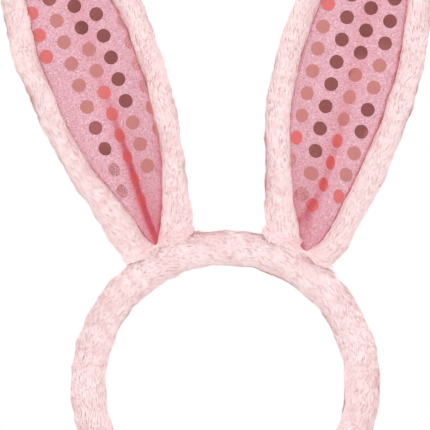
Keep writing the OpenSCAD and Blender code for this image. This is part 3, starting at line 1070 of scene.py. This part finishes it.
def disc_faces(rings, sides):
    """The faces of a disc of two sheets, each a middle point with rings of points round it."""
    count = 1 + rings * sides
    disc = [[0, 1 + k, 1 + (k + 1) % sides] for k in range(sides)]
    disc += [[a, d, c, b] for a, b, c, d in grid_quads(rings, sides, True) + 1]
    faces = disc + [[v + count for v in face[::-1]] for face in disc]
    for k in range(count - sides, count):
        m = k + 1 if k + 1 < count else count - sides
        faces.append([k, k + count, m + count, m])
    return faces


def dot(ear, column, height):
    """A foil disc that follows the cloth, or None where the lining is too narrow for one."""
    reach = float(lining_reach(height))
    outs = np.linspace(-reach, reach, 400)
    depths = lining_depth(ear, outs, np.full(len(outs), float(height)))
    length = np.concatenate([[0], np.cumsum(np.hypot(np.diff(outs), np.diff(depths)))])
    length -= np.interp(float(crease_in_lining(ear, height, reach)), outs, length)
    along = column * DOT_COLUMN
    if column == -1:
        always, low = ear["gather"]
        along += always + low * float(1 - smoothstep(40, 75, height))
    if not length[0] - 1.0 < along < length[-1] + 1.0:
        return None
    rings, sides = 4, 28
    turn = full_turn(sides)
    radii = DOT_R * np.arange(1, rings + 1) / rings
    cloth = along + np.concatenate([[0], np.outer(radii, np.cos(turn)).ravel()])
    z = height + np.concatenate([[0], np.outer(radii, np.sin(turn)).ravel()])
    limit = lining_reach(z) - 0.25
    out = np.clip(np.interp(cloth, length, outs), -limit, limit)
    depth = lining_depth(ear, out, z)
    step = 0.05
    normal = unit(np.stack([
        (lining_depth(ear, out + step, z) - depth) / step, -np.ones(len(out)),
        (lining_depth(ear, out, z + step) - depth) / step], axis=1))
    spots = np.stack([out, depth, z], axis=1)
    local = np.concatenate([spots + normal * DOT_THICK, spots - normal * 0.05])
    local[:, 0] *= ear["sign"]
    return to_shared(ear, local), disc_faces(rings, sides)


def foil_dots(ear):
    """The ear's dots, one piece for each finish."""
    pieces = []
    for finish, material in FOILS.items():
        made = [dot(ear, column, height) for column, height, kind in dot_places(ear)
                if kind == finish]
        points, faces = join(*(part for part in made if part is not None))
        piece = add_closed(f"{ear['side']}_{finish}_dots", points, faces, material)
        piece.data.set_sharp_from_angle(angle=math.radians(40))
        pieces.append(piece)
    return pieces


def ear_wire(ear):
    """The coated wire round the ear, with an eye about the band's core at each end."""
    path = rim_path(ear, 8.5)
    across, up = ear["root_across"], ear["root_up"]
    parts = [rim_tube(ear, path, WIRE_R, 10)]
    turn = np.linspace(0, 2 * math.pi, 37)
    for foot in (path[0], path[-1]):
        place = float((to_shared(ear, foot) - ear["root"]) @ across)
        centre = ear["root"] + place * across
        ring = centre + EYE_R * (np.sin(turn)[:, None] * BACK + np.cos(turn)[:, None] * up)
        parts.append(tube(ring, (unit(ring - centre), across), WIRE_R, 10))
        top = to_shared(ear, foot + np.array([0, 0, 0.6]))
        parts.append(tube(np.linspace(centre + EYE_R * up, top, 5), (across, BACK), WIRE_R, 10))
    return add_closed(ear["side"] + "_wire_loop", *join(*parts), WIRE)


def rim_wadding(ear):
    """The fibre filling of the rims, round the wire."""
    path = rim_path(ear, 14.5)
    outer = rim_radius(path[:, 2]) - 2.6 + 0.18 * ripple(path, 8, ear["seed"] + 2)
    return add_closed(ear["side"] + "_rim_wadding", *rim_tube(ear, path, outer, 26, 1.5), FIBRE)


def hem_stitches(ear):
    """Whip stitches along both lower edges of the base."""
    parts = []
    t = np.linspace(0, 1, 8)
    radius = SADDLE_IN + 0.8 + 0.25 * np.sin(math.pi * t)
    for edge in (-HEM_FRONT, HEM_BACK):
        turn = np.radians(edge - math.copysign(1, edge) * (9 - 8 * t))
        round_band = np.outer(radius * np.sin(turn), BACK) \
            + np.outer(radius * np.cos(turn), ear["root_up"])
        for place in np.linspace(-SADDLE_HALF_W + 2, SADDLE_HALF_W - 2, 12):
            path = ear["root"] + np.outer(place + 1.1 * t, ear["root_across"]) + round_band
            parts.append(stitch(path, ear["root_up"] + 0.01 * BACK, 0.3))
    return add_closed(ear["side"] + "_hem_stitches", *join(*parts), THREAD)


def with_ear(piece, ear):
    """Bakes the placement of one of an ear's pieces into its mesh."""
    start, end = (to_shared(ear, (0, FOLD_Y, FOLD_Z + k * FOLD_HALF)) * MM for k in (-1, 1))
    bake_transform(piece)
    return piece


def build_ear(ear):
    side = ear["side"]
    skin = ear_plush(ear)
    pile = grow_pile(side + "_ear_pile", skin, ear_flow(ear), ear_height(ear), ear["seed"] + 300)
    with_ear(skin, ear)
    for piece in pile:
        with_ear(piece, ear)
    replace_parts(skin, *(f"{side}_{part}" for part in
                        ("ear_base", "ear_rim", "tip_rim", "ear_back", "tip_back")))
    cloth = with_ear(lining(ear), ear)
    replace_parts(cloth, side + "_ear_lining", side + "_tip_lining")
    for piece in foil_dots(ear):
        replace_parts(with_ear(piece, ear), side + "_ear_dots", side + "_tip_dots")
    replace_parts(with_ear(ear_wire(ear), ear), side + "_ear_wire", side + "_tip_wire")
    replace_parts(with_ear(rim_wadding(ear), ear), side + "_ear_wadding",
                side + "_tip_wadding")
    stitches = hem_stitches(ear)
    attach(stitches, side + "_ear")
    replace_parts(stitches, side + "_ear_stitches")


# ---- Studio ----

VIEW_WIDTH = 225.8       # the front view's width at the object
VIEW_X = -5.5            # and its middle
VIEW_Z = 26.5
CAMERA_AWAY = 2400.0
SENSOR = 36.0
FLOOR_R = 600


def add_camera():
    data = bpy.data.cameras.new("front_camera")
    data.sensor_width = SENSOR
    data.lens = SENSOR * CAMERA_AWAY / VIEW_WIDTH
    data.clip_start = 0.05
    data.clip_end = 20
    camera = add_object("front_camera", data)
    camera.location = (VIEW_X * MM, -CAMERA_AWAY * MM, VIEW_Z * MM)
    camera.rotation_euler = (math.pi / 2, 0, 0)
    bpy.context.scene.camera = camera


def add_area(name, place, target, width, power):
    data = bpy.data.lights.new(name, "AREA")
    data.shape = "SQUARE"
    data.size = width
    data.energy = power
    light = add_object(name, data)
    light.location = place
    away = np.array(place) - np.array(target)
    light.rotation_euler = (math.atan2(math.hypot(away[0], away[1]), away[2]), 0,
                            math.atan2(away[0], -away[1]))
    light.visible_glossy = False


def add_world():
    world = bpy.data.worlds.new("studio")
    world.use_nodes = True
    sky = world.node_tree.nodes["Background"]
    sky.inputs["Color"].default_value = (1, 1, 1, 1)
    sky.inputs["Strength"].default_value = 1.0
    bpy.context.scene.world = world


def add_stage(name, points, colour, roughness):
    """A flat piece of the studio."""
    material, _, _ = new_material(name, Base_Color=(*colour, 1), Roughness=roughness)
    piece = add_piece(name, points, [list(range(len(points)))], material)
    return piece


def add_floor():
    """A small round white floor under the band's ends."""
    low = float(cad_box[0][2]) / MM - 0.4
    turn = full_turn(96)
    points = np.stack([FLOOR_R * np.cos(turn), FLOOR_R * np.sin(turn), low + 0 * turn], axis=1)
    add_stage("floor", points, (0.93, 0.93, 0.93), 0.9)


def add_flag():
    """The dark studio behind the camera, which only the shiny dots see."""
    half, y = 250.0, -900.0
    middle = VIEW_Z + 40
    corners = np.array([[-half, y, middle - half], [half, y, middle - half],
                        [half, y, middle + half], [-half, y, middle + half]])
    flag = add_stage("dark_flag", corners, (0.28, 0.26, 0.26), 1.0)
    flag.visible_camera = False
    flag.visible_diffuse = False
    flag.visible_shadow = False


def build_studio():
    scene = bpy.context.scene
    scene.view_settings.view_transform = "Standard"
    # Light goes on between the pale strands for many bounces
    scene.cycles.diffuse_bounces = 12
    scene.cycles.max_bounces = 16
    add_camera()
    add_world()
    add_area("key", (-0.9, -1.3, 1.1), (0, 0, 0.05), 1.2, 5.5)
    add_area("fill", (1.1, -1.2, 0.5), (0, 0, 0.05), 1.2, 3.2)
    add_floor()
    add_flag()


build_studio()
build_band()
for one in EARS.values():
    build_ear(one)
